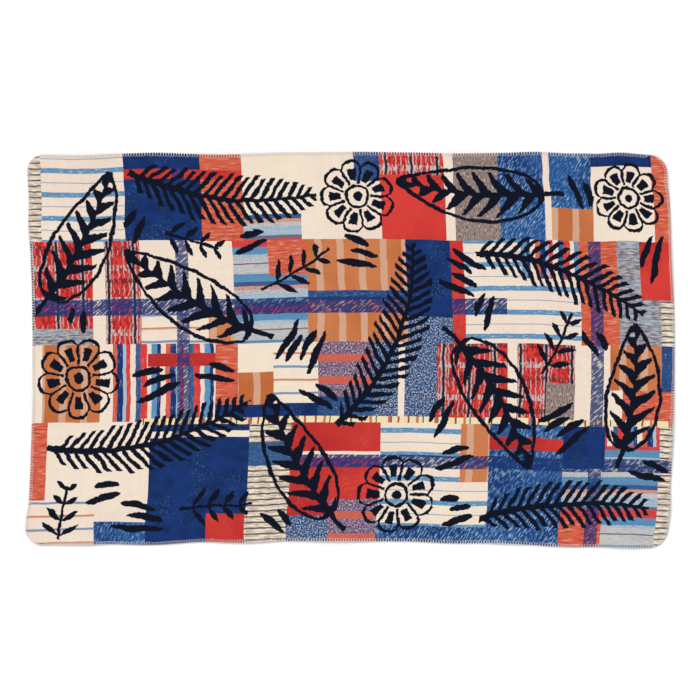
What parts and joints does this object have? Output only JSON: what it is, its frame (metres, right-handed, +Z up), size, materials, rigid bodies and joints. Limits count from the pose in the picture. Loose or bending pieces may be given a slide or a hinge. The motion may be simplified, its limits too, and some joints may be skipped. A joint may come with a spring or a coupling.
{
  "type": "fleece blanket",
  "caption": "Oblong brushed fleece throw with rounded corners and a sewn overedge, laid out flat with its printed face up.",
  "frame": {"origin": "middle of the bounding box, on the plane the blanket lies on", "axes": "+X along the long side, +Y along the short side, +Z up out of the printed face"},
  "size_m": [1.415, 0.8636, 0.0094],
  "materials": {
    "fleece": "brushed pile, matt"
  },
  "bodies": {
    "root": {"fleece_sheet": "fleece"}
  },
  "joints": []
}
